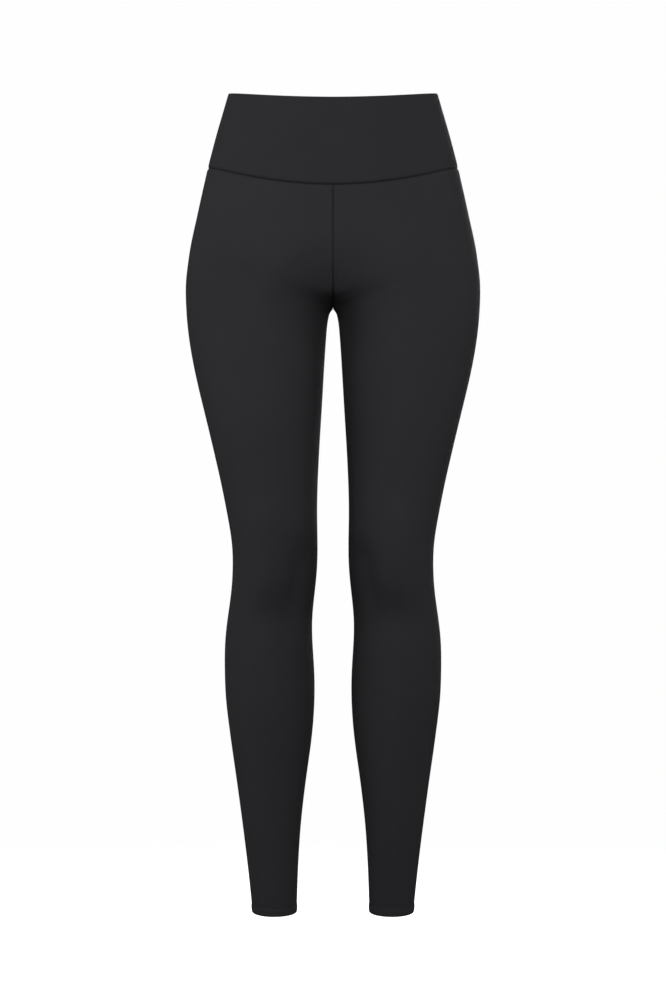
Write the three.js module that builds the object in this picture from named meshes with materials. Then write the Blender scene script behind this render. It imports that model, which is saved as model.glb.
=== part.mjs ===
// High-rise leggings, filled out as they are worn, with nobody in them: two band pieces and two
// leg panels, each a thin closed wall of cloth. Millimetres, +Z up, front towards -Y. The origin
// is the centre of the waist opening, level with the top of the band at the sides.
import * as THREE from "three";

// Driving dimensions.
const LEG_WALL = 1.5; // one layer of jersey
const BAND_WALL = 2.6; // two layers, folded over at the top edge
const HEM_WALL = 2.6; // the leg's cloth and its turned-up edge
const HEM_DEPTH = 12;
const HEM_STEP = 2; // height over which the wall thickens above the hem
const SEAM_GAP = 0.3; // between pieces, and between a leg panel's own edges at the inseam

const BAND_SIDE = -88; // height of the seam under the band, at the sides
const TOP_FRONT = -14; // height of the band's top edge at the centre front
const TOP_BACK = 5; // and at the centre back
const TOP_TILT = 0.075; // slope of the top edge at the sides, lower in front
const SEAM_FRONT = -115; // height of the seam under the band at the centre front
const SEAM_BACK = -100; // and at the centre back

const NOTCH_TOP_FRONT = -195; // above this height the two legs' fronts form one smooth torso
const NOTCH_TOP_BACK = -185; // and above this one their backs
const NOTCH_CURVE = 2.2; // higher makes the fade end more gently
const NOTCH_FROM = 1.5; // directions, round a leg, between which the notch deepens
const NOTCH_FULL = 2.6;
const THIGH_ROUND_FROM = -150; // heights between which the hips' section turns into the thigh's
const THIGH_ROUND_BY = -420;
const CROTCH = -251.5; // height of the crotch point
const CROTCH_SIDE = -202; // height, at the outside, of the row that ends at the crotch point
const CROTCH_BOW = 1.3; // 1 takes that row straight up to the outside, and 2 on a parabola
const BAND_BOW = 2; // the same for the rows of the band and for the leg's own top edge
const ARCH = 12; // height of the rounded top of the gap between the legs
const HEM = -960; // height of the hem at the middle of the ankle
const HEM_TILT = 0.065; // slope of the hem, lower in front
const KNEE = -575; // rows of the leg start to slope here, and reach the hem's slope at the hem

const BAND_ROWS = 4;
const TORSO_ROWS = 12;
const FIRST_STEP = 2; // between the leg's rows, just under the crotch
const STEP_GROWTH = 1.5;
const LEG_STEP = 30; // between the leg's rows further down
const LEVEL_BY = -420; // rows that dip towards the crotch are level from here down
const COLUMNS = 24; // round a leg, from the front edge to the back edge

// Sections from the waist to the hem. outer is the half width of the hips or the leg's outer
// side, inner the leg's inner side, both from the middle of the garment. front and back are the
// depths of its front and back. square is 2 for an ellipse, and more for a fuller curve. calf
// shows how far back the widest place lies, as a share of half the depth.
const SECTIONS = [
  { z: 20, outer: 118, inner: 0, front: -90, back: 94, square: 2.2, calf: 0 },
  { z: 0, outer: 122.2, inner: 0, front: -90, back: 94, square: 2.2, calf: 0 },
  { z: -45, outer: 135.4, inner: 0, front: -94, back: 98, square: 2.2, calf: 0 },
  { z: -90, outer: 147, inner: 0, front: -98, back: 105, square: 2.3, calf: 0 },
  { z: -140, outer: 158.5, inner: 0, front: -100, back: 115, square: 2.35, calf: 0 },
  { z: -190, outer: 168.9, inner: 0, front: -100, back: 122, square: 2.35, calf: 0 },
  { z: -230, outer: 172.8, inner: 0, front: -98, back: 122, square: 2.35, calf: 0 },
  { z: -265, outer: 171.2, inner: 6.2, front: -96, back: 114, square: 2.3, calf: 0 },
  { z: -310, outer: 164.7, inner: 9.6, front: -94, back: 101, square: 2.2, calf: 0 },
  { z: -370, outer: 150.6, inner: 13.1, front: -91, back: 88, square: 2.1, calf: 0 },
  { z: -430, outer: 136, inner: 16.8, front: -86, back: 77, square: 2.1, calf: 0 },
  { z: -490, outer: 123.4, inner: 18.8, front: -81, back: 68, square: 2.15, calf: 0 },
  { z: -540, outer: 116.3, inner: 17.7, front: -76, back: 60, square: 2.2, calf: 0 },
  { z: -575, outer: 117.4, inner: 20, front: -70, back: 56, square: 2.2, calf: 0.06 },
  { z: -610, outer: 122.6, inner: 25, front: -62, back: 58, square: 2.15, calf: 0.12 },
  { z: -650, outer: 126.5, inner: 23.9, front: -57, back: 65, square: 2.1, calf: 0.16 },
  { z: -690, outer: 126.5, inner: 21.1, front: -52, back: 69, square: 2.1, calf: 0.16 },
  { z: -740, outer: 121.7, inner: 23.2, front: -46, back: 68, square: 2.1, calf: 0.14 },
  { z: -800, outer: 113.2, inner: 31.3, front: -37, back: 61, square: 2.1, calf: 0.1 },
  { z: -860, outer: 105.1, inner: 38.2, front: -27, back: 56, square: 2.1, calf: 0.06 },
  { z: -915, outer: 98.7, inner: 41.4, front: -18, back: 58, square: 2.1, calf: 0.03 },
  { z: -975, outer: 94, inner: 42.8, front: -11, back: 63, square: 2.1, calf: 0 },
];
const COLUMN_NAMES = ["outer", "inner", "front", "back", "square", "calf"];

const JERSEY_COLOUR = 0x29292b;
const JERSEY_ROUGHNESS = 0.9;

// How finely the curves are worked out.
const HALVINGS = 40;
const ROW_ROUNDS = 30;
const SEAM_SAMPLES = 200;
const ROUND_OFF = 1e-9;

const mix = (a, b, t) => a + (b - a) * t;
const clamp01 = (t) => Math.min(Math.max(t, 0), 1);
const ease = (t) => clamp01(t) ** 2 * (3 - 2 * clamp01(t));

// Slope of a column of the table between two sections that follow each other.
const slopeBetween = (i, name) =>
  (SECTIONS[i + 1][name] - SECTIONS[i][name]) / (SECTIONS[i + 1].z - SECTIONS[i].z);

// Slope of a column at one section, chosen so that the curve never overshoots.
function slopeAt(i, name) {
  const upper = slopeBetween(Math.max(i - 1, 0), name);
  const lower = slopeBetween(Math.min(i, SECTIONS.length - 2), name);
  return upper * lower <= 0 ? 0 : (2 * upper * lower) / (upper + lower);
}

// The section at any height: a smooth curve through each column of the table.
function sectionAt(z) {
  const next = SECTIONS.findIndex((row) => row.z < z);
  const i = Math.max((next < 0 ? SECTIONS.length - 1 : next) - 1, 0);
  const h = SECTIONS[i + 1].z - SECTIONS[i].z;
  const t = (z - SECTIONS[i].z) / h;
  const section = {};
  for (const name of COLUMN_NAMES) {
    const bend = (1 - t) ** 2 * t * slopeAt(i, name) - t ** 2 * (1 - t) * slopeAt(i + 1, name);
    section[name] = mix(SECTIONS[i][name], SECTIONS[i + 1][name], ease(t)) + bend * h;
  }
  const under = clamp01((CROTCH - z) / ARCH);
  section.inner = Math.max(section.inner * Math.sqrt(1 - (1 - under) ** 2), SEAM_GAP / 2);
  return section;
}

// Distance from a point on a superellipse's long axis to its edge, in the direction phi.
function reach(x, phi, halfWidth, halfDepth, square) {
  let near = 0;
  let far = 2 * (halfWidth + halfDepth);
  for (let k = 0; k < HALVINGS; k += 1) {
    const r = (near + far) / 2;
    const across = Math.abs((x + r * Math.cos(phi)) / halfWidth) ** square;
    const along = Math.abs((r * Math.sin(phi)) / halfDepth) ** square;
    if (across + along < 1) near = r;
    else far = r;
  }
  return near;
}

// Share of the torso's section in the cloth, from all of it above to nothing below. Round the
// outside it fades slowly down the thigh, and near the middle plane quickly, as a notch that
// ends at the crotch.
function torsoShare(phi, z) {
  const inNotch = ease((Math.abs(phi) - NOTCH_FROM) / (NOTCH_FULL - NOTCH_FROM));
  const top = mix(THIGH_ROUND_FROM, phi < 0 ? NOTCH_TOP_FRONT : NOTCH_TOP_BACK, inNotch);
  const low = mix(THIGH_ROUND_BY, CROTCH, inNotch);
  const above = clamp01((z - low) / (top - low));
  return above ** NOTCH_CURVE * (NOTCH_CURVE + 1 - NOTCH_CURVE * above);
}

// Point of the +X leg's outer surface at a height, in the direction phi round the leg's
// own middle: 0 is outwards, -PI / 2 the front, PI / 2 the back, and PI the inner side.
function surface(phi, z) {
  const s = sectionAt(z);
  const middle = (s.outer + s.inner) / 2;
  const halfDepth = (s.back - s.front) / 2;
  const leg = reach(0, phi, (s.outer - s.inner) / 2, halfDepth, s.square);
  const torso = reach(middle, phi, s.outer, halfDepth, s.square);
  const r = mix(leg, torso, torsoShare(phi, z));
  const depth = r * Math.sin(phi);
  const setBack = s.calf * halfDepth * (1 - (depth / halfDepth) ** 2);
  const x = middle + r * Math.cos(phi);
  const y = (s.front + s.back) / 2 + depth + setBack;
  const point = new THREE.Vector3(x, y, z);
  return { point, depth, across: clamp01((x - s.inner) / (s.outer - s.inner)) };
}

// Direction in which the surface at a height comes within edge of the middle plane, in front
// (side -1) or at the back (side 1).
function seamDirection(z, side, edge) {
  let clear = Math.PI / 2;
  let past = Math.PI;
  for (let k = 0; k < HALVINGS; k += 1) {
    const phi = (clear + past) / 2;
    if (surface(side * phi, z).point.x > edge) clear = phi;
    else past = phi;
  }
  return side * clear;
}

// Point of a row that lies at sideZ on the outside and at middleZ at its ends. bow is 2 for a row
// that curves like a parabola between them, and 1 for a straight one. The row also slopes from
// front to back by tilt, where endDepth is how far its ends lie behind the section's middle.
function rowPoint(phi, { sideZ, middleZ, bow, tilt = 0, endDepth = 0 }) {
  let z = sideZ;
  for (let k = 0; k < ROW_ROUNDS; k += 1) {
    const { depth, across } = surface(phi, z);
    const level = mix(middleZ - tilt * endDepth, sideZ, across ** bow);
    z = (z + level + tilt * depth) / 2;
  }
  return surface(phi, z).point;
}

// Heights at equal steps along the centre seam from its top to the crotch point.
function seamHeights(top, side) {
  const points = [];
  for (let k = 0; k <= SEAM_SAMPLES; k += 1) {
    const z = mix(top, CROTCH, 1 - (1 - k / SEAM_SAMPLES) ** 2);
    points.push(surface(seamDirection(z, side, SEAM_GAP / 2), z).point);
  }
  const lengths = [0];
  for (let k = 1; k <= SEAM_SAMPLES; k += 1) {
    lengths.push(lengths[k - 1] + points[k].distanceTo(points[k - 1]));
  }
  const heights = [];
  for (let i = 0; i <= TORSO_ROWS; i += 1) {
    const due = (lengths[SEAM_SAMPLES] * i) / TORSO_ROWS - ROUND_OFF;
    const k = lengths.findIndex((length) => length >= due);
    heights.push(points[k].z);
  }
  return heights;
}

// Depths below the crotch of the leg's rows: close together under the arch, with the last three
// just above the hem, at its top and at its edge.
function legDepths() {
  const hemTop = CROTCH - HEM - HEM_DEPTH;
  const last = hemTop - HEM_STEP;
  const depths = [];
  let step = FIRST_STEP;
  for (let depth = step; depth < last - LEG_STEP / 2; depth += step) {
    depths.push(depth);
    step = Math.min(step * STEP_GROWTH, LEG_STEP);
  }
  return [...depths, last, hemTop, hemTop + HEM_DEPTH];
}

// Direction round the leg of a column, at t from -1 at the front edge to 1 at the back edge, in
// a row that ends in the direction end. The columns crowd towards the ends, so that those round
// the outside run straight down.
function columnDirection(t, end) {
  const share = Math.abs(t);
  return Math.sign(t) * (Math.PI * share - (Math.PI - end) * share ** 3);
}

// Sets the two ends of a row that meet at the inseam a seam's gap apart.
function openInseam(points) {
  points[0].y -= SEAM_GAP / 2;
  points[COLUMNS].y += SEAM_GAP / 2;
}

// Rows of the +X leg panel, from its front edge round the outside to its back edge.
function legRows() {
  const rows = [];
  const frontHeights = seamHeights(SEAM_FRONT - SEAM_GAP / 2, -1);
  const backHeights = seamHeights(SEAM_BACK - SEAM_GAP / 2, 1);
  for (let i = 0; i <= TORSO_ROWS; i += 1) {
    const sideZ = mix(BAND_SIDE - SEAM_GAP / 2, CROTCH_SIDE, i / TORSO_ROWS);
    const front = seamDirection(frontHeights[i], -1, SEAM_GAP / 2);
    const back = seamDirection(backHeights[i], 1, SEAM_GAP / 2);
    const bow = mix(BAND_BOW, CROTCH_BOW, i / TORSO_ROWS);
    const row = { points: [], wall: LEG_WALL, edge: "x" };
    for (let j = 0; j <= COLUMNS; j += 1) {
      const t = mix(-1, 1, j / COLUMNS);
      const phi = columnDirection(t, t < 0 ? -front : back);
      const middleZ = phi < 0 ? frontHeights[i] : backHeights[i];
      row.points.push(rowPoint(phi, { sideZ, middleZ, bow }));
    }
    rows.push(row);
  }
  openInseam(rows[TORSO_ROWS].points);
  for (const depth of legDepths()) {
    const z = CROTCH - depth;
    const level = ease((z - LEVEL_BY) / (CROTCH - LEVEL_BY));
    const tilt = HEM_TILT * ease((KNEE - z) / (KNEE - HEM));
    const sideZ = z + (CROTCH_SIDE - CROTCH) * level;
    const wall = z < HEM + HEM_DEPTH + HEM_STEP / 2 ? HEM_WALL : LEG_WALL;
    const row = { points: [], wall, edge: "y" };
    for (let j = 0; j <= COLUMNS; j += 1) {
      const phi = mix(-Math.PI, Math.PI, j / COLUMNS);
      row.points.push(rowPoint(phi, { sideZ, middleZ: z, bow: CROTCH_BOW, tilt }));
    }
    openInseam(row.points);
    rows.push(row);
  }
  return rows;
}

// Rows of the band's front (side -1) or back (side 1), from one side seam to the other, in the
// same columns as the legs.
function bandRows(side) {
  const top = side < 0 ? TOP_FRONT : TOP_BACK;
  const seam = (side < 0 ? SEAM_FRONT : SEAM_BACK) + SEAM_GAP / 2;
  const half = COLUMNS / 2;
  const rows = [];
  for (let i = 0; i <= BAND_ROWS; i += 1) {
    const middleZ = mix(top, seam, i / BAND_ROWS);
    const sideZ = mix(0, BAND_SIDE + SEAM_GAP / 2, i / BAND_ROWS);
    const tilt = mix(TOP_TILT, 0, i / BAND_ROWS);
    const centre = seamDirection(middleZ, side, 0);
    const { depth } = surface(centre, middleZ);
    const points = [];
    for (let j = -half; j <= half; j += 1) {
      const phi = side * columnDirection(1 - Math.abs(j) / half, side * centre);
      const point = rowPoint(phi, { sideZ, middleZ, bow: BAND_BOW, tilt, endDepth: depth });
      if (Math.abs(j) === half) point.y += (side * SEAM_GAP) / 2;
      point.x *= -side * Math.sign(j);
      points.push(point);
    }
    rows.push({ points, wall: BAND_WALL, edge: "y" });
  }
  return rows;
}

// The same rows on the other side of the middle plane, in reverse so that the outside stays
// outside.
const mirrored = (rows) =>
  rows.map((row) => ({
    ...row,
    points: row.points.map((p) => new THREE.Vector3(-p.x, p.y, p.z)).reverse(),
  }));

// Direction out of the cloth at a point of the rows. At a row's ends it lies in the seam's own
// plane, so that the two sides of a seam stay parallel through the wall.
function outward(rows, i, j) {
  const { points } = rows[i];
  const lastColumn = points.length - 1;
  const above = rows[Math.max(i - 1, 0)].points[j];
  const below = rows[Math.min(i + 1, rows.length - 1)].points[j];
  const up = above.clone().sub(below);
  const before = points[Math.max(j - 1, 0)];
  const after = points[Math.min(j + 1, lastColumn)];
  const normal = after.clone().sub(before).cross(up);
  if (j === 0 || j === lastColumn) normal[rows[i].edge] = 0;
  return normal.normalize();
}

// A wall of cloth: its outer points are the rows' own, and its inner points lie a wall's
// thickness inside them.
function clothWall(rows) {
  const width = rows[0].points.length;
  const outer = rows.flatMap((row) => row.points);
  const inner = rows.flatMap((row, i) =>
    row.points.map((p, j) => p.clone().addScaledVector(outward(rows, i, j), -row.wall)),
  );
  const points = [...outer, ...inner];
  const index = [];
  const quad = (a, b, c, d) => {
    const acShorter = points[a].distanceTo(points[c]) < points[b].distanceTo(points[d]);
    index.push(...(acShorter ? [a, b, c, a, c, d] : [b, c, d, b, d, a]));
  };
  for (let i = 0; i + 1 < rows.length; i += 1) {
    for (let j = 0; j + 1 < width; j += 1) {
      const a = i * width + j;
      const b = outer.length + a;
      quad(a + width, a + width + 1, a + 1, a);
      quad(b, b + 1, b + width + 1, b + width);
    }
  }
  const rim = edgeLoop(rows.length, width);
  rim.forEach((a, k) => {
    const b = rim[(k + 1) % rim.length];
    quad(a, b, outer.length + b, outer.length + a);
  });
  const geometry = new THREE.BufferGeometry().setFromPoints(points);
  geometry.setIndex(index);
  geometry.computeVertexNormals();
  return geometry;
}

// Places of the points round the edge of a grid, in order.
function edgeLoop(height, width) {
  const loop = [];
  for (let j = 0; j < width - 1; j += 1) loop.push(j);
  for (let i = 0; i < height - 1; i += 1) loop.push(i * width + width - 1);
  for (let j = width - 1; j > 0; j -= 1) loop.push((height - 1) * width + j);
  for (let i = height - 1; i > 0; i -= 1) loop.push(i * width);
  return loop;
}

function piece(name, rows) {
  const cloth = new THREE.MeshStandardMaterial({
    color: JERSEY_COLOUR,
    roughness: JERSEY_ROUGHNESS,
    metalness: 0,
  });
  const mesh = new THREE.Mesh(clothWall(rows), cloth);
  mesh.name = name;
  return mesh;
}

const leftLeg = legRows();
const leggings = new THREE.Group();
leggings.add(
  piece("waistband_front", bandRows(-1)),
  piece("waistband_back", bandRows(1)),
  piece("leg_right", mirrored(leftLeg)),
  piece("leg_left", leftLeg),
);
export default leggings;
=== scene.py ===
"""Full-length stretch leggings with a wide waistband, filled out as worn.

Each cut piece of jersey grows from the outer skin of its solid: the skin becomes a grid of quads, its edges
roll in at the seams, its free edges fold under, and it gets the thickness of the cloth.
"""

import math

import bmesh
import bpy
from bpy.props import FloatProperty, FloatVectorProperty, PointerProperty
from mathutils import Matrix, Vector
from mathutils.bvhtree import BVHTree


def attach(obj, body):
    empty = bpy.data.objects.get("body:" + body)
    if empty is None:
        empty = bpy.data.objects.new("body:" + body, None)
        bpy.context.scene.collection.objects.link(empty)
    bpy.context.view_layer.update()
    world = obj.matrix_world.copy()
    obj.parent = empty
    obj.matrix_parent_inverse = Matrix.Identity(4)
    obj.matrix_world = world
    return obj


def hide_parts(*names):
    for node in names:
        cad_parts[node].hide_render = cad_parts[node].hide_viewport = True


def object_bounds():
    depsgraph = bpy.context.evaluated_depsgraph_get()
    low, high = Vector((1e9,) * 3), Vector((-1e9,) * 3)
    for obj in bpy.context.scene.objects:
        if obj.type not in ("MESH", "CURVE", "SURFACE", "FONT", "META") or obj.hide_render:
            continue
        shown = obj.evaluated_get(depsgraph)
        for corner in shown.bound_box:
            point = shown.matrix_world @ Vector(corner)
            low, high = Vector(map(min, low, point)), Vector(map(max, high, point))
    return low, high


bl_info = {
    "name": "Stretch leggings",
    "version": (1, 0, 0),
    "blender": (4, 5, 0),
    "location": "3D View > Sidebar > Leggings",
    "description": "Builds jersey leggings with a wide waistband round their packed solids",
    "category": "Object",
}

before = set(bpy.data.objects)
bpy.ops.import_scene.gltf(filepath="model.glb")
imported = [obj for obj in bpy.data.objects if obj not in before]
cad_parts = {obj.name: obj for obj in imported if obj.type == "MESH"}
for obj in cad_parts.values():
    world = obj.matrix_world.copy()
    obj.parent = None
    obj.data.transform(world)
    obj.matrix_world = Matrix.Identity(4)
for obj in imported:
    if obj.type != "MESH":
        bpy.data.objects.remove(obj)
CAD_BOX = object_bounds()
LOWEST = CAD_BOX[0]

MM = 0.001
LEGS = ("leg_left", "leg_right")
BANDS = ("waistband_front", "waistband_back")

# Corners of a solid's triangles that lie closer than this are one.
WELD = 0.02 * MM
# A face starts the outer skin only if it faces outwards by more than this cosine.
FACES_OUT = 0.9
# The skin ends at edges sharper than this, and its border turns a corner where it bends by more than this.
RIM_ANGLE = math.radians(72)
CORNER_ANGLE = math.radians(60)
# Weight that tells apart two corners which are alike but for their side.
SIDE_WEIGHT = 0.001
# A vertex this close to the middle plane is moved this far past it, which closes the centre seams.
CENTRE_PLANE = 0.2 * MM
CENTRE_OVERLAP = 0.35 * MM
# To make up for smoothing, a vertex moves out by its distance from its neighbours' chords over this number.
SMOOTHING_PART = 3


# --- sizes and colours ------------------------------------------------------------------------------------


class LeggingsCloth(bpy.types.PropertyGroup):
    """Thickness of the jersey, and how it sits at seams and folds."""

    thickness: FloatProperty(
        name="Cloth thickness", description="Thickness of one layer of jersey",
        default=1.1 * MM, unit="LENGTH")
    fold_gap: FloatProperty(
        name="Fold gap", description="Room between two folded layers of jersey",
        default=0.15 * MM, unit="LENGTH")
    seam_depth: FloatProperty(
        name="Seam depth", description="How far a sewn edge turns in",
        default=1.5 * MM, unit="LENGTH")
    band_seam_depth: FloatProperty(
        name="Band seam depth", description="How far the edges turn in at the seam under the waistband",
        default=2.0 * MM, unit="LENGTH")
    seam_overlap: FloatProperty(
        name="Seam overlap", description="How far a sewn edge reaches past its solid, to close the seam",
        default=0.5 * MM, unit="LENGTH")
    fullness: FloatProperty(
        name="Fullness", description="How far the legs' cloth stands over its solid below the crotch",
        default=0.6 * MM, unit="LENGTH")


class LeggingsKnit(bpy.types.PropertyGroup):
    """Colours and stitches of the jersey."""

    leg_colour: FloatVectorProperty(
        name="Leg jersey", description="Colour of the jersey of the legs",
        subtype="COLOR", default=(0.0215, 0.0213, 0.0238), min=0, max=1)
    band_colour: FloatVectorProperty(
        name="Band jersey", description="Colour of the doubled jersey of the waistband",
        subtype="COLOR", default=(0.0205, 0.0202, 0.0234), min=0, max=1)
    thread_colour: FloatVectorProperty(
        name="Thread", description="Colour of the sewing thread",
        subtype="COLOR", default=(0.018, 0.018, 0.0195), min=0, max=1)
    wale: FloatProperty(
        name="Wale width", description="Width of one column of knitted loops",
        default=0.62 * MM, unit="LENGTH")
    course: FloatProperty(
        name="Course height", description="Height of one row of knitted loops",
        default=0.5 * MM, unit="LENGTH")
    relief: FloatProperty(
        name="Knit relief", description="Height of the knitted loops",
        default=0.15 * MM, unit="LENGTH")
    sheen: FloatProperty(
        name="Sheen", description="Soft light on the fibres at grazing angles",
        default=0.02, min=0, max=1)


class LeggingsThread(bpy.types.PropertyGroup):
    """The twin-needle stitches of the hems."""

    pitch: FloatProperty(
        name="Stitch pitch", description="Distance from one stitch to the next",
        default=3.1 * MM, unit="LENGTH")
    length: FloatProperty(
        name="Stitch length", description="Length of thread that shows in one stitch",
        default=2.5 * MM, unit="LENGTH")
    width: FloatProperty(
        name="Thread width", description="Width of the sewing thread",
        default=0.45 * MM, unit="LENGTH")


class LeggingsStage(bpy.types.PropertyGroup):
    """Camera, floor and studio light."""

    distance: FloatProperty(
        name="Camera distance", description="Distance from the camera to the middle of the leggings",
        default=4.0, unit="LENGTH")
    view_height: FloatProperty(
        name="View height", description="Height of the camera over the origin",
        default=-0.475, unit="LENGTH")
    tall: FloatProperty(
        name="Height in view", description="Height of what the camera takes in at the leggings",
        default=1.1688, unit="LENGTH")
    clearance: FloatProperty(
        name="Floor clearance", description="Room between the hems and the floor",
        default=0.16, unit="LENGTH")
    dome: FloatProperty(
        name="Dome light", description="Strength of the soft light from the front, where it is strongest",
        default=0.32, min=0)
    dome_back: FloatProperty(
        name="Dome light behind", description="Strength of the soft light from behind",
        default=0.08, min=0)
    backdrop: FloatProperty(
        name="Backdrop", description="Brightness of the white backdrop",
        default=0.992, min=0)
    front: FloatProperty(
        name="Front light", description="Power of the large light in front",
        default=28.0, min=0, unit="POWER")
    left: FloatProperty(
        name="Left light", description="Power of the light at the left of the view",
        default=11.5, min=0, unit="POWER")
    right: FloatProperty(
        name="Right light", description="Power of the light at the right of the view",
        default=7.0, min=0, unit="POWER")
    back: FloatProperty(
        name="Back light", description="Power of the large light behind",
        default=26.0, min=0, unit="POWER")


# --- cloth pieces -----------------------------------------------------------------------------------------

# Height of a sewn edge's cloth over its solid's skin, by distance from the edge. The edge itself turns in.
SEAM_ROLL = ((0.75 * MM, -0.5 * MM), (1.8 * MM, 0.04 * MM), (4.2 * MM, 0.2 * MM))
# The same where the band and the legs meet, under the weight of four layers.
BAND_SEAM_ROLL = ((0.9 * MM, -0.8 * MM), (1.8 * MM, 0.04 * MM), (4.4 * MM, 0.25 * MM))
# The rounded fold at the waistband's top edge.
TOP_FOLD = ((1.2 * MM, 0.1 * MM),)
# The hem from its edge up: the turned cloth is fuller, and each row of stitches pulls it in. HEM_BELOW ends
# at the lower row, HEM_BETWEEN is between the rows, HEM_ABOVE is at the upper row and HEM_RELEASE over it.
HEM_BELOW = ((1.2 * MM, 0.4 * MM), (5.5 * MM, 0.65 * MM), (9.0 * MM, 0.4 * MM), (10.2 * MM, -0.35 * MM))
HEM_BETWEEN = 0.1 * MM
HEM_ABOVE = -0.35 * MM
HEM_RELEASE = ((1.3 * MM, 0.05 * MM), (4.0 * MM, 0.0))
# The legs' fullness begins at this height and is whole this far below it.
FULL_FROM = -250 * MM
FULL_OVER = 150 * MM
# Depth at which the cloth counts as fully drawn in, and gets the darkest painted shade.
SUNK_FULLY = 2 * MM
# A folded-under layer follows the heights of the outer one by this much, the other way.
INNER_SHARE = -0.35


class Panel:
    """One cut piece of cloth: a grid of quads with four edges, and lines of vertices that rise or sink."""

    def __init__(self, node, fullness=0.0):
        self.bm = outer_skin(node)
        # How deep each vertex is drawn in, which the material paints as shade at the seams.
        self.sunk = self.bm.verts.layers.float.new("sunk")
        self.fullness = fullness
        self.hand = math.copysign(1, sum(v.co.x for v in self.bm.verts))
        self.rows = lay_grid(self.bm)
        self.edges = {
            "top": set(self.rows[0]),
            "bottom": set(self.rows[-1]),
            "start": {row[0] for row in self.rows},
            "end": {row[-1] for row in self.rows},
        }
        self.lines = [(members, 0.0) for members in self.edges.values()]
        self.layers, self.source = {}, {}
        keep_full(self.rows)
        lay_uv(self.bm, self.rows)

    def cut(self, near, distance, height):
        """Cuts a line of vertices at a distance from one edge, or from a line, and gives it a height."""
        crossing = [e for e in self.bm.edges if (e.verts[0] in near) != (e.verts[1] in near)]
        return self.cut_edges(crossing, near, distance, height)

    def cut_edges(self, crossing, near, distance, height):
        """Cuts a line of vertices across the given edges, at a distance from their near ends."""
        fresh = []
        for edge in crossing:
            here = edge.verts[0] if edge.verts[0] in near else edge.verts[1]
            there = edge.other_vert(here)
            _, vert = bmesh.utils.edge_split(edge, here, distance / edge.calc_length())
            for members, _ in self.lines:
                if here in members and there in members:
                    members.add(vert)
            fresh.append(vert)
        bmesh.ops.connect_verts(self.bm, verts=fresh)
        self.lines.append((set(fresh), height))
        return set(fresh)

    def roll_in(self, edge, profile, depth):
        """Turns one edge in, with a line of vertices for each distance of the profile, farthest first."""
        for distance, height in reversed(profile):
            self.cut(self.edges[edge], distance, height)
        self.lines.append((self.edges[edge], -depth))

    def height(self, vert):
        """Height of a vertex over the skin: what sinks most wins, and else what rises most."""
        below = min(1.0, max(0.0, (FULL_FROM - vert.co.z) / FULL_OVER))
        heights = [rise for members, rise in self.lines if vert in members] or [self.fullness * below]
        return min(heights) if min(heights) < 0 else max(heights)

    def outward_at_seams(self, edges):
        """The direction across the seam, away from the piece, at each vertex of its sewn edges."""
        outward = {}
        for edge in edges:
            members = self.edges[edge]
            for vert in members:
                for other in (e.other_vert(vert) for e in vert.link_edges):
                    if other not in members:
                        outward[vert] = outward.get(vert, Vector()) + (vert.co - other.co).normalized()
        return outward

    def settle(self, seams, reach):
        """Moves every vertex to its height, and the sewn edges up to each other.

        A vertex attribute keeps how deep the cloth is drawn in, from 0 to 1 at the seam under the band; the
        material paints shade into the seams' grooves by it.
        """
        outward = self.outward_at_seams(seams)
        moves = []
        for vert in self.bm.verts:
            drop, share = self.layers.get(vert, (0.0, 1.0))
            outer = self.source.get(vert, vert)
            vert[self.sunk] = max(0.0, -self.height(outer) / SUNK_FULLY)
            up, across = self.normals[outer], outward.get(outer, Vector())
            if across.length > 0:
                up = (up - across * up.dot(across) / across.length_squared).normalized()
            moves.append((vert, up * (drop + share * self.height(outer)) + across * reach))
        for vert, move in moves:
            centre = abs(self.skin[self.source.get(vert, vert)].x) < CENTRE_PLANE
            vert.co += move
            if centre:
                vert.co.x = -self.hand * CENTRE_OVERLAP

    def fold_under(self, faces, edge, drop):
        """Lays a second layer of some faces inside the first and joins the two round an edge."""
        self.bm.normal_update()
        made = bmesh.ops.duplicate(self.bm, geom=faces)
        inside = [f for f in made["geom"] if isinstance(f, bmesh.types.BMFace)]
        origin = {made["vert_map"][v]: v for f in faces for v in f.verts}
        self.source = origin
        self.layers = {vert: (-drop, INNER_SHARE) for vert in origin}
        bmesh.ops.reverse_faces(self.bm, faces=inside)
        rim = self.edges[edge]
        outer = [e for e in self.bm.edges if e.is_boundary and all(v in rim for v in e.verts)]
        inner = [e for e in self.bm.edges if e.is_boundary and all(origin.get(v) in rim for v in e.verts)]
        bmesh.ops.bridge_loops(self.bm, edges=outer + inner)

    def remember_skin(self):
        """Keeps the skin's own places and normals, which a second layer shares."""
        self.bm.normal_update()
        self.normals = {v: v.normal.copy() for v in self.bm.verts}
        self.skin = {v: v.co.copy() for v in self.bm.verts}


def outer_skin(node):
    """A bmesh of the outward face of a node's cloth, without its inner face and rim."""
    bm = bmesh.new()
    bm.from_mesh(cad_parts[node].data)
    bmesh.ops.remove_doubles(bm, verts=bm.verts, dist=WELD)
    bm.normal_update()

    def reach(face):
        out = face.calc_center_median().xy
        return out.length if face.normal.xy.dot(out.normalized()) > FACES_OUT else 0

    def on_rim(face):
        return all(abs(v.co.x) < CENTRE_PLANE for v in face.verts)

    start = max(bm.faces, key=reach)
    skin, front = {start}, [start]
    while front:
        for edge in front.pop().edges:
            if edge.calc_face_angle() < RIM_ANGLE:
                fresh = [f for f in edge.link_faces if f not in skin and not on_rim(f)]
                skin.update(fresh)
                front.extend(fresh)
    bmesh.ops.delete(bm, geom=[f for f in bm.faces if f not in skin], context="FACES")
    return bm


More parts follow.
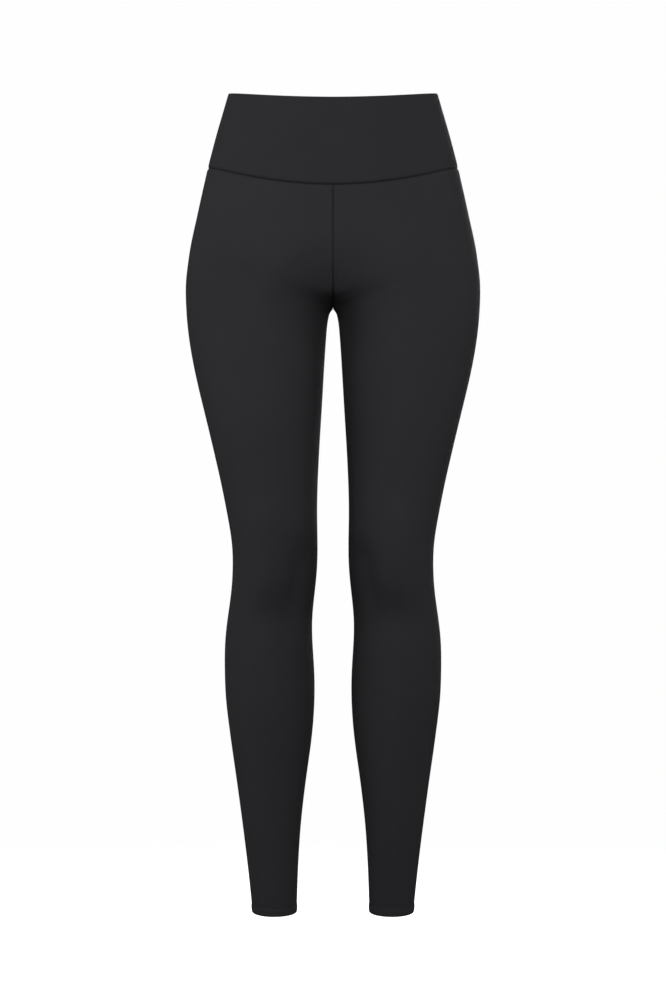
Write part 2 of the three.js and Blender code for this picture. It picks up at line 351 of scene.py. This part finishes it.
def border_loop(bm):
    """The vertices round a skin from its foremost upper corner, and how many edges its first side has."""

    def beside(vert):
        return [e.other_vert(vert) for e in vert.link_edges if e.is_boundary]

    def turning(vert):
        a, b = beside(vert)
        return (vert.co - a.co).angle(b.co - vert.co)

    corners = {v for v in bm.verts if v.is_boundary and turning(v) > CORNER_ANGLE}
    corner = max(corners, key=lambda v: v.co.z - v.co.y - v.co.x * SIDE_WEIGHT)
    loop = [corner, min(beside(corner), key=lambda v: abs(v.co.z - corner.co.z))]
    while loop[-1] is not corner:
        a, b = beside(loop[-1])
        loop.append(b if a is loop[-2] else a)
    loop.pop()
    across = next(i for i in range(1, len(loop)) if loop[i] in corners)
    return loop, across


def lay_grid(bm):
    """Joins a skin's triangles in pairs and returns its rows of vertices, from the top down.

    A row of quads is a strip of triangles. Every second rung of the strip is a quad's diagonal.
    """
    loop, across = border_loop(bm)
    rows = [loop[: across + 1]]
    diagonals, used = [], set()
    for depth in range(len(loop) // 2 - across):
        above, below = rows[-1], [loop[-1 - depth]]
        upper, lower = 0, below[0]
        for step in range(2 * across):
            rung = bm.edges.get((above[upper], lower))
            face = next(f for f in rung.link_faces if f not in used)
            used.add(face)
            third = next(v for v in face.verts if v not in rung.verts)
            if upper < across and third is above[upper + 1]:
                upper += 1
            else:
                lower = third
                below.append(third)
            if step % 2 == 0:
                diagonals.append(bm.edges.get((above[upper], lower)))
        rows.append(below)
    bmesh.ops.dissolve_edges(bm, edges=diagonals, use_verts=False)
    return rows


def off_chord(before, vert, after):
    """How far a vertex lies from the straight line between its two neighbours, at its own place along it."""
    back, on = (vert.co - before.co).length, (after.co - vert.co).length
    return (before.co * on + after.co * back) / (back + on) - vert.co


def keep_full(rows):
    """Moves the vertices between the sides out by what subdivision will take back, along their normals."""
    moves = []
    for i, row in enumerate(rows):
        for j, vert in enumerate(row[1:-1], 1):
            pull = off_chord(row[j - 1], vert, row[j + 1])
            if 0 < i < len(rows) - 1:
                pull += off_chord(rows[i - 1][j], vert, rows[i + 1][j])
            moves.append((vert, vert.normal * (pull.dot(vert.normal) / -SMOOTHING_PART)))
    for vert, move in moves:
        vert.co += move


def lay_uv(bm, rows):
    """Maps the grid in metres, as the piece was cut: u from the middle of each row, v down its middle."""
    place = {}
    middle = len(rows[0]) // 2
    down = 0.0
    for i, row in enumerate(rows):
        if i:
            down += (row[middle].co - rows[i - 1][middle].co).length
        along = [0.0]
        for a, b in zip(row, row[1:]):
            along.append(along[-1] + (b.co - a.co).length)
        for vert, u in zip(row, along):
            place[vert] = (u - along[middle], -down)
    uv = bm.loops.layers.uv.new("cut")
    for face in bm.faces:
        for loop in face.loops:
            loop[uv].uv = place[loop.vert]


def leg_panel(node):
    """A leg's cloth: sewn at the waist, at the centre seams and at the inseam, with a turned hem."""
    cloth = bpy.context.scene.leggings_cloth
    panel = Panel(node, cloth.fullness)
    above_hem, in_hem = set(panel.rows[-3]), set(panel.rows[-2])
    panel.lines.extend([(above_hem, HEM_ABOVE), (in_hem, HEM_BETWEEN)])
    for side in ("start", "end"):
        panel.roll_in(side, SEAM_ROLL, cloth.seam_depth)
    panel.roll_in("top", BAND_SEAM_ROLL, cloth.band_seam_depth)
    for distance, height in reversed(HEM_BELOW):
        panel.cut(panel.edges["bottom"], distance, height)
    upper = [e for e in panel.bm.edges if len(above_hem.intersection(e.verts)) == 1]
    upper = [e for e in upper if not in_hem.intersection(e.verts)]
    for distance, height in reversed(HEM_RELEASE):
        cut = panel.cut_edges(upper, above_hem, distance, height)
        upper = [e for e in panel.bm.edges
                 if above_hem.intersection(e.verts) and cut.intersection(e.verts)]
    panel.remember_skin()
    turned = hem_faces(panel, above_hem)
    panel.fold_under(turned, "bottom", 2 * cloth.thickness + cloth.fold_gap)
    panel.settle(("start", "end", "top"), cloth.seam_overlap)
    return panel


def hem_faces(panel, upper_line):
    """The faces between the hem's edge and its upper row of stitches."""
    faces, front = set(), [f for v in panel.edges["bottom"] for f in v.link_faces]
    while front:
        face = front.pop()
        if face in faces:
            continue
        faces.add(face)
        for edge in face.edges:
            if not all(v in upper_line for v in edge.verts):
                front.extend(edge.link_faces)
    return [f for f in panel.bm.faces if f in faces]


def band_panel(node):
    """Half of the waistband: folded double at its top edge and sewn at its sides and lower edge."""
    cloth = bpy.context.scene.leggings_cloth
    panel = Panel(node)
    for side in ("start", "end"):
        panel.roll_in(side, SEAM_ROLL, cloth.seam_depth)
    panel.roll_in("bottom", BAND_SEAM_ROLL, cloth.band_seam_depth)
    for distance, height in TOP_FOLD:
        panel.cut(panel.edges["top"], distance, height)
    panel.remember_skin()
    panel.fold_under(list(panel.bm.faces), "top", 2 * cloth.thickness + cloth.fold_gap)
    panel.settle(("start", "end", "bottom"), cloth.seam_overlap)
    return panel


# --- soft folds -------------------------------------------------------------------------------------------

# Soft ridges and troughs of the left leg, which the right leg mirrors, in metres. The columns are the side
# (-1 front, 1 back), one end and the other as x and z, the half width and the height. The rows are the hollow
# at the crotch, the knee, the dip under it, the hollow inside it, the shin, and two creases behind the knee.
FOLDS = (
    (-1, (0.0, -0.228), (0.012, -0.265), 0.040, -0.0080),
    (-1, (0.081, -0.500), (0.074, -0.572), 0.019, 0.0060),
    (-1, (0.050, -0.614), (0.098, -0.608), 0.014, -0.0020),
    (-1, (0.028, -0.545), (0.042, -0.604), 0.021, -0.0110),
    (-1, (0.080, -0.655), (0.078, -0.715), 0.028, 0.0015),
    (1, (0.045, -0.560), (0.095, -0.552), 0.012, -0.0014),
    (1, (0.058, -0.596), (0.104, -0.586), 0.011, -0.0011),
)
# A fold fades out this many half widths from its line, and has its whole height on cloth that faces its side
# by more than one over the gain.
FOLD_REACH = 3
FACING_GAIN = 1.6
# Where the rows of the cut crowd together: the crotch as x and z, how far round it the cloth is evened out,
# how clear of the seam, on cloth that faces how much to the front or back, and how often.
CROTCH = Vector((0, -0.2515))
CALM_REACH = 75 * MM
CALM_CLEAR = 4 * MM
CALM_FACING = 0.15
CALM_ROUNDS = 40
# Nearer the middle plane than this, a fold moves the cloth less sideways, so that the seam stays closed.
CENTRE_CALM = 10 * MM


def calm(bm):
    """Evens out the cloth in front of the crotch and behind it, less and less with the distance from it."""
    share = {}
    for vert in bm.verts:
        near = 2 - 2 * (vert.co.xz - CROTCH).length / CALM_REACH
        if near > 0 and abs(vert.co.x) > CALM_CLEAR and abs(vert.normal.y) > CALM_FACING:
            share[vert] = min(1.0, near) / 2
    for _ in range(CALM_ROUNDS):
        moves = []
        for vert in share:
            around = [e.other_vert(vert).co for e in vert.link_edges]
            moves.append(sum(around, Vector()) / len(around) - vert.co)
        for vert, move in zip(share, moves):
            vert.co += move * share[vert]


def crease(mesh):
    """Raises the soft folds of FOLDS on both legs alike, less and less where the cloth turns sideways."""
    bm = bmesh.new()
    bm.from_mesh(mesh)
    bm.normal_update()
    for side, start, end, width, height in FOLDS:
        a, b = Vector(start), Vector(end)
        along = b - a
        for vert in bm.verts:
            at = Vector((abs(vert.co.x), vert.co.z))
            share = max(0.0, min(1.0, (at - a).dot(along) / along.length_squared))
            away = (at - a - along * share).length / width
            facing = max(0.0, vert.normal.y * side)
            if away < FOLD_REACH and facing > 0:
                move = vert.normal * (height * math.exp(-away * away) * min(1.0, facing * FACING_GAIN))
                move.x *= min(1.0, abs(vert.co.x) / CENTRE_CALM)
                vert.co += move
    bm.normal_update()
    calm(bm)
    bm.to_mesh(mesh)
    bm.free()


# --- from panel to object ---------------------------------------------------------------------------------


def finished_mesh(obj):
    """Applies an object's modifiers and returns the mesh."""
    graph = bpy.context.evaluated_depsgraph_get()
    mesh = bpy.data.meshes.new_from_object(obj.evaluated_get(graph))
    obj.modifiers.clear()
    return mesh


def subdivide(obj):
    """One level of subdivision that keeps the corners of the cut piece."""
    modifier = obj.modifiers.new("Smooth", "SUBSURF")
    modifier.levels = modifier.render_levels = 1
    modifier.boundary_smooth = "PRESERVE_CORNERS"


def sew(panel, node, material):
    """Makes a panel an object: smooth, creased and as thick as the cloth, in place of its solid."""
    cloth = bpy.context.scene.leggings_cloth
    mesh = bpy.data.meshes.new(node + "_cloth")
    panel.bm.to_mesh(mesh)
    panel.bm.free()
    obj = bpy.data.objects.new(node + "_cloth", mesh)
    bpy.context.scene.collection.objects.link(obj)
    subdivide(obj)
    obj.data = finished_mesh(obj)
    bpy.data.meshes.remove(mesh)
    crease(obj.data)
    wall = obj.modifiers.new("Cloth thickness", "SOLIDIFY")
    wall.thickness = cloth.thickness
    wall.offset = -1
    subdivide(obj)
    obj.data.shade_smooth()
    obj.data.materials.clear()
    obj.data.materials.append(material)
    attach(obj, "root")
    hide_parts(node)
    return obj


# --- materials --------------------------------------------------------------------------------------------

CLOTH_ROUGHNESS = 0.92
CLOTH_SPECULAR = 0.08
SHEEN_ROUGHNESS = 0.45
THREAD_ROUGHNESS = 0.7
# How finely the tone of the cloth and of the thread varies, and by what share of the colour to either side.
CLOTH_TONE = 9.0
CLOTH_MOTTLE = 0.1
THREAD_TONE = 2500.0
THREAD_MOTTLE = 0.3
TONE_DETAIL = 3
TONE_ROUGHNESS = 0.55
# Painted shade in the seams' grooves: share of its colour that the cloth loses at the bottom of the seam
# under the band, and less in shallower grooves.
SEAM_PAINTED_SHADE = 0.6
# Knitted loops: how steeply their legs slant, and the swing of their height and of the rib they stand on.
LOOP_SLANT = 1.6
LOOP_SWING = 0.3
LOOP_MIDDLE = 0.5
RIB_SWING = 0.6
RIB_MIDDLE = 0.4


def link_math(tree, operation, *values):
    """Adds a Math node to a tree, with sockets or plain numbers as its values, and returns its output."""
    node = tree.nodes.new("ShaderNodeMath")
    node.operation = operation
    for socket, value in zip(node.inputs, values):
        if isinstance(value, bpy.types.NodeSocket):
            tree.links.new(value, socket)
        else:
            socket.default_value = value
    return node.outputs[0]


def new_group(name, inputs, outputs):
    """A shader node group with named float and vector inputs and outputs."""
    group = bpy.data.node_groups.new(name, "ShaderNodeTree")
    for direction, sockets in (("INPUT", inputs), ("OUTPUT", outputs)):
        for socket, kind in sockets:
            group.interface.new_socket(name=socket, in_out=direction, socket_type=kind)
    return group, group.nodes.new("NodeGroupInput"), group.nodes.new("NodeGroupOutput")


def knit_group():
    """Rows of V-shaped knitted loops: a height from 0 to 1 over the cloth's own map in metres."""
    group, given, put = new_group(
        "Jersey knit",
        [("Map", "NodeSocketVector"), ("Wale", "NodeSocketFloat"), ("Course", "NodeSocketFloat")],
        [("Height", "NodeSocketFloat")])
    split = group.nodes.new("ShaderNodeSeparateXYZ")
    group.links.new(given.outputs["Map"], split.inputs[0])
    column = link_math(group, "DIVIDE", split.outputs["X"], given.outputs["Wale"])
    row = link_math(group, "DIVIDE", split.outputs["Y"], given.outputs["Course"])
    offset = link_math(group, "SUBTRACT", link_math(group, "FRACT", column), 0.5)
    across = link_math(group, "ABSOLUTE", offset)
    slanted = link_math(group, "ADD", row, link_math(group, "MULTIPLY", across, LOOP_SLANT))
    loops = link_math(group, "SINE", link_math(group, "MULTIPLY", slanted, math.tau))
    loops = link_math(group, "MULTIPLY_ADD", loops, LOOP_SWING, LOOP_MIDDLE)
    ribs = link_math(group, "SINE", link_math(group, "MULTIPLY", across, math.tau))
    ribs = link_math(group, "MULTIPLY_ADD", ribs, RIB_SWING, RIB_MIDDLE)
    height = link_math(group, "MULTIPLY", loops, ribs)
    group.links.new(height, put.inputs["Height"])
    return group


def tone_group():
    """Slow uneven tone of dyed cloth, from 0 to 1 over object coordinates."""
    group, given, put = new_group(
        "Cloth tone",
        [("Place", "NodeSocketVector"), ("Scale", "NodeSocketFloat")],
        [("Tone", "NodeSocketFloat")])
    noise = group.nodes.new("ShaderNodeTexNoise")
    noise.inputs["Detail"].default_value = TONE_DETAIL
    noise.inputs["Roughness"].default_value = TONE_ROUGHNESS
    group.links.new(given.outputs["Place"], noise.inputs["Vector"])
    group.links.new(given.outputs["Scale"], noise.inputs["Scale"])
    group.links.new(noise.outputs["Fac"], put.inputs["Tone"])
    return group


def shared_group(name, make):
    """A node group by name, made the first time it is asked for."""
    return bpy.data.node_groups.get(name) or make()


def place_group(tree, name, make, source, **values):
    """Places a shared group in a material, fed with a vector and its own values."""
    node = tree.nodes.new("ShaderNodeGroup")
    node.node_tree = shared_group(name, make)
    tree.links.new(source, node.inputs[0])
    for socket, value in values.items():
        node.inputs[socket].default_value = value
    return node.outputs[0]


def fabric_shader(name, colour, sheen):
    """A material with a matt Principled BSDF, its tree and the shader."""
    material = bpy.data.materials.new(name)
    material.use_nodes = True
    tree = material.node_tree
    shader = tree.nodes["Principled BSDF"]
    shader.inputs["Base Color"].default_value = (*colour, 1)
    shader.inputs["Roughness"].default_value = CLOTH_ROUGHNESS
    shader.inputs["Specular IOR Level"].default_value = CLOTH_SPECULAR
    shader.inputs["Sheen Weight"].default_value = sheen
    shader.inputs["Sheen Roughness"].default_value = SHEEN_ROUGHNESS
    return material, tree, shader


def mottled_with_painted_shade(tree, shader, colour, tone, spread, shade=0.0):
    """Lets a tone move the base colour a little to either side, and darkens it with painted shade where the
    cloth is drawn in, at the seams and the hem's rows of stitches.
    """
    mix = tree.nodes.new("ShaderNodeMix")
    mix.data_type = "RGBA"
    tree.links.new(tone, mix.inputs["Factor"])
    mix.inputs["A"].default_value = (*(c * (1 - spread) for c in colour), 1)
    mix.inputs["B"].default_value = (*(c * (1 + spread) for c in colour), 1)
    if shade == 0:
        tree.links.new(mix.outputs["Result"], shader.inputs["Base Color"])
        return
    # Painted shade: the colour goes towards black by how deep the cloth is drawn in.
    sunk = tree.nodes.new("ShaderNodeAttribute")
    sunk.attribute_name = "sunk"
    painted_shade_mix = tree.nodes.new("ShaderNodeMix")
    painted_shade_mix.data_type = "RGBA"
    tree.links.new(link_math(tree, "MULTIPLY", sunk.outputs["Fac"], shade), painted_shade_mix.inputs["Factor"])
    tree.links.new(mix.outputs["Result"], painted_shade_mix.inputs["A"])
    painted_shade_mix.inputs["B"].default_value = (0, 0, 0, 1)
    tree.links.new(painted_shade_mix.outputs["Result"], shader.inputs["Base Color"])


def jersey(name, colour):
    """Matt black stretch jersey: fine knitted loops, a slow uneven tone, a faint sheen, and painted shade
    where the cloth is drawn in at its seams.
    """
    knit = bpy.context.scene.leggings_knit
    material, tree, shader = fabric_shader(name, colour, knit.sheen)
    here = tree.nodes.new("ShaderNodeTexCoord")
    tone = place_group(tree, "Cloth tone", tone_group, here.outputs["Object"], Scale=CLOTH_TONE)
    mottled_with_painted_shade(tree, shader, colour, tone, CLOTH_MOTTLE, SEAM_PAINTED_SHADE)
    cut = tree.nodes.new("ShaderNodeUVMap")
    cut.uv_map = "cut"
    loops = place_group(
        tree, "Jersey knit", knit_group, cut.outputs["UV"], Wale=knit.wale, Course=knit.course)
    bump = tree.nodes.new("ShaderNodeBump")
    bump.inputs["Distance"].default_value = knit.relief
    tree.links.new(loops, bump.inputs["Height"])
    tree.links.new(bump.outputs["Normal"], shader.inputs["Normal"])
    return material


def thread():
    """Spun black sewing thread, a little smoother than the cloth."""
    knit = bpy.context.scene.leggings_knit
    material, tree, shader = fabric_shader("thread", knit.thread_colour, knit.sheen)
    shader.inputs["Roughness"].default_value = THREAD_ROUGHNESS
    here = tree.nodes.new("ShaderNodeTexCoord")
    tone = place_group(tree, "Cloth tone", tone_group, here.outputs["Object"], Scale=THREAD_TONE)
    mottled_with_painted_shade(tree, shader, knit.thread_colour, tone, THREAD_MOTTLE)
    return material


# --- stitches ---------------------------------------------------------------------------------------------

# Heights of the two rows of stitches over the hem's edge.
STITCH_ROWS = (10.2 * MM, 14.0 * MM)
# How a hem is sounded: how many ways round, from how far outside, over what height and how finely.
RING_STEPS = 720
RING_REACH = 120 * MM
RING_DEPTH = 30 * MM
EDGE_STEP = 0.1 * MM
# A stitch's middle lies this share of the thread's width over the cloth, and it is this share of it thick.
STITCH_PROUD = 0.1
STITCH_FLATNESS = 0.75
STITCH_SEGMENTS = 8
STITCH_RINGS = 6


def ring_points(obj, height):
    """Points round a leg's outer face at a height over its hem, found on the finished cloth."""
    graph = bpy.context.evaluated_depsgraph_get()
    surface = BVHTree.FromObject(obj, graph)
    corners = [obj.matrix_world @ Vector(c) for c in obj.bound_box]
    hem = [v.co for v in obj.data.vertices if v.co.z < min(c.z for c in corners) + RING_DEPTH]
    centre = sum(hem, Vector()) / len(hem)
    points = []
    for step in range(RING_STEPS):
        angle = math.tau * step / RING_STEPS
        out = Vector((math.cos(angle), math.sin(angle), 0))
        edge = lowest_on_ray(surface, centre, out)
        start = centre + out * RING_REACH
        start.z = edge + height
        hit, normal, _, _ = surface.ray_cast(start, -out)
        if hit:
            points.append((hit, normal))
    return points


def lowest_on_ray(surface, centre, out):
    """Height of the hem's edge in one direction: the lowest level at which a level ray still meets cloth."""
    low, high = centre.z - RING_DEPTH, centre.z
    while high - low > EDGE_STEP:
        level = (low + high) / 2
        start = centre + out * RING_REACH
        start.z = level
        if surface.ray_cast(start, -out)[0]:
            high = level
        else:
            low = level
    return high


def stitch_row(bm, points, thread_size):
    """Adds a row of separate stitches that lie along a ring of points."""
    travelled, due = 0.0, 0.0
    for (here, normal), (there, _) in zip(points, points[1:] + points[:1]):
        travelled += (there - here).length
        if travelled < due:
            continue
        due += thread_size.pitch
        along = (there - here).normalized()
        across = normal.cross(along).normalized()
        up = along.cross(across)
        turn = axes_matrix(along, across, up, here + normal * (STITCH_PROUD * thread_size.width))
        made = bmesh.ops.create_uvsphere(
            bm, u_segments=STITCH_SEGMENTS, v_segments=STITCH_RINGS, radius=0.5)
        size = Vector((thread_size.length, thread_size.width, thread_size.width * STITCH_FLATNESS))
        bmesh.ops.scale(bm, vec=size, verts=made["verts"])
        bmesh.ops.transform(bm, matrix=turn, verts=made["verts"])


def axes_matrix(along, across, up, place):
    """A matrix from three axes and a place."""
    turn = Matrix((along, across, up)).transposed().to_4x4()
    turn.translation = place
    return turn


def hem_stitches(leg, material):
    """Both rows of twin-needle stitches round one hem, as one piece."""
    size = bpy.context.scene.leggings_thread
    bm = bmesh.new()
    for height in STITCH_ROWS:
        stitch_row(bm, ring_points(leg, height), size)
    name = leg.name.replace("_cloth", "_hem_stitches")
    mesh = bpy.data.meshes.new(name)
    bm.to_mesh(mesh)
    bm.free()
    mesh.shade_smooth()
    mesh.materials.append(material)
    obj = bpy.data.objects.new(name, mesh)
    bpy.context.scene.collection.objects.link(obj)
    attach(obj, "root")
    return obj


# --- stage ------------------------------------------------------------------------------------------------

# Where the dome is brightest, and from which cosine to which it brightens.
DOME_FROM = (0, -0.9, 0.4)
DOME_FADE = (-0.7, 0.8)
FLOOR_RADIUS = 2.4
FLOOR_SEGMENTS = 96
FLOOR_COLOUR = (0.82, 0.82, 0.82, 1)
FLOOR_ROUGHNESS = 0.9
FLOOR_GLOW = 0.75
WHITE = (1, 1, 1, 1)
# The stage's lights by the names of their powers, with their places.
LIGHTS = {
    "front": (0, -1.9, 0.3),
    "left": (-1.5, -0.35, 0.1),
    "right": (1.5, -0.35, 0.1),
    "back": (0.5, 1.9, 0.2),
}
LIGHT_AIM = (0, 0, -0.35)
LIGHT_SIZE = (0.9, 0.9)


def make_camera(stage):
    """A level camera in front of the leggings, which takes in the given height at their middle."""
    data = bpy.data.cameras.new("camera")
    data.lens = data.sensor_width * stage.distance / stage.tall
    camera = bpy.data.objects.new("camera", data)
    camera.location = (0, -stage.distance, stage.view_height)
    camera.rotation_euler = (math.radians(90), 0, 0)
    bpy.context.scene.collection.objects.link(camera)
    bpy.context.scene.camera = camera


def make_dome(stage):
    """Soft light, strongest from the front, with a white backdrop that only the camera sees."""
    world = bpy.data.worlds.new("studio")
    bpy.context.scene.world = world
    world.use_nodes = True
    tree = world.node_tree
    light = tree.nodes["Background"]
    here = tree.nodes.new("ShaderNodeTexCoord")
    toward = tree.nodes.new("ShaderNodeVectorMath")
    toward.operation = "DOT_PRODUCT"
    toward.inputs[1].default_value = Vector(DOME_FROM).normalized()
    tree.links.new(here.outputs["Generated"], toward.inputs[0])
    fade = tree.nodes.new("ShaderNodeMapRange")
    fade.interpolation_type = "SMOOTHSTEP"
    fade.inputs["From Min"].default_value, fade.inputs["From Max"].default_value = DOME_FADE
    fade.inputs["To Min"].default_value = stage.dome_back
    fade.inputs["To Max"].default_value = stage.dome
    tree.links.new(toward.outputs["Value"], fade.inputs["Value"])
    tree.links.new(fade.outputs["Result"], light.inputs["Strength"])
    light.inputs["Color"].default_value = WHITE
    seen = tree.nodes.new("ShaderNodeBackground")
    seen.inputs["Color"].default_value = WHITE
    seen.inputs["Strength"].default_value = stage.backdrop
    path = tree.nodes.new("ShaderNodeLightPath")
    choose = tree.nodes.new("ShaderNodeMixShader")
    tree.links.new(path.outputs["Is Camera Ray"], choose.inputs["Fac"])
    tree.links.new(light.outputs[0], choose.inputs[1])
    tree.links.new(seen.outputs[0], choose.inputs[2])
    tree.links.new(choose.outputs[0], tree.nodes["World Output"].inputs["Surface"])


def make_floor(stage):
    """A wide pale floor under the leggings."""
    bm = bmesh.new()
    bmesh.ops.create_circle(bm, cap_ends=True, segments=FLOOR_SEGMENTS, radius=FLOOR_RADIUS)
    bmesh.ops.translate(bm, vec=(0, 0, LOWEST.z - stage.clearance), verts=bm.verts)
    mesh = bpy.data.meshes.new("floor")
    bm.to_mesh(mesh)
    bm.free()
    floor = bpy.data.objects.new("floor", mesh)
    bpy.context.scene.collection.objects.link(floor)
    material = bpy.data.materials.new("pale_floor")
    material.use_nodes = True
    shader = material.node_tree.nodes["Principled BSDF"]
    shader.inputs["Base Color"].default_value = FLOOR_COLOUR
    shader.inputs["Roughness"].default_value = FLOOR_ROUGHNESS
    shader.inputs["Emission Color"].default_value = WHITE
    shader.inputs["Emission Strength"].default_value = FLOOR_GLOW
    mesh.materials.append(material)
    floor.visible_diffuse = floor.visible_glossy = False


def make_light(name, place, power):
    """A soft square studio light that faces the thighs."""
    data = bpy.data.lights.new(name, "AREA")
    data.shape = "RECTANGLE"
    data.size, data.size_y = LIGHT_SIZE
    data.energy = power
    light = bpy.data.objects.new(name, data)
    light.location = place
    light.rotation_euler = (Vector(LIGHT_AIM) - Vector(place)).to_track_quat("-Z", "Y").to_euler()
    light.visible_camera = False
    bpy.context.scene.collection.objects.link(light)


# --- operators and panel ----------------------------------------------------------------------------------


class LEGGINGS_OT_stage(bpy.types.Operator):
    """Set up the camera, the floor and the studio light"""

    bl_idname = "leggings.stage"
    bl_label = "Stage"

    def execute(self, context):
        stage = context.scene.leggings_stage
        make_camera(stage)
        make_dome(stage)
        make_floor(stage)
        for name, place in LIGHTS.items():
            make_light(name, place, getattr(stage, name))
        context.scene.view_settings.view_transform = "Standard"
        return {"FINISHED"}


class LEGGINGS_OT_waistband(bpy.types.Operator):
    """Build both halves of the doubled waistband"""

    bl_idname = "leggings.waistband"
    bl_label = "Waistband"

    def execute(self, context):
        material = jersey("band_jersey", context.scene.leggings_knit.band_colour)
        for node in BANDS:
            band = sew(band_panel(node), node, material)
        return {"FINISHED"}


class LEGGINGS_OT_legs(bpy.types.Operator):
    """Build both legs, with their turned hems and the stitches of the hems"""

    bl_idname = "leggings.legs"
    bl_label = "Legs"

    def execute(self, context):
        material = jersey("leg_jersey", context.scene.leggings_knit.leg_colour)
        threads = thread()
        for node in LEGS:
            leg = sew(leg_panel(node), node, material)
            stitches = hem_stitches(leg, threads)
        return {"FINISHED"}


# The settings' titles, their names on the scene and their classes in the same order, and the building steps.
GROUPS = (
    ("Cloth", "leggings_cloth"),
    ("Knit", "leggings_knit"),
    ("Thread", "leggings_thread"),
    ("Stage", "leggings_stage"),
)
SETTINGS = (LeggingsCloth, LeggingsKnit, LeggingsThread, LeggingsStage)
STEPS = (LEGGINGS_OT_stage, LEGGINGS_OT_waistband, LEGGINGS_OT_legs)


class LEGGINGS_PT_sizes(bpy.types.Panel):
    """Sizes, colours and steps of the leggings"""

    bl_label = "Leggings"
    bl_idname = "LEGGINGS_PT_sizes"
    bl_space_type = "VIEW_3D"
    bl_region_type = "UI"
    bl_category = "Leggings"

    def draw(self, context):
        for title, name in GROUPS:
            box = self.layout.box()
            box.label(text=title)
            group = getattr(context.scene, name)
            for field in group.__annotations__:
                box.prop(group, field)
        for operator in STEPS:
            self.layout.operator(operator.bl_idname)


def register():
    """Adds the settings, the operators and the sidebar panel."""
    for cls in (*SETTINGS, *STEPS, LEGGINGS_PT_sizes):
        bpy.utils.register_class(cls)
    for (_, name), cls in zip(GROUPS, SETTINGS):
        setattr(bpy.types.Scene, name, PointerProperty(type=cls))


def unregister():
    """Takes away what register added."""
    for _, name in GROUPS:
        delattr(bpy.types.Scene, name)
    for cls in (LEGGINGS_PT_sizes, *reversed(STEPS), *reversed(SETTINGS)):
        bpy.utils.unregister_class(cls)


def main():
    """Builds everything."""
    register()
    bpy.ops.leggings.stage()
    bpy.ops.leggings.waistband()
    bpy.ops.leggings.legs()


if __name__ == "__main__":
    main()
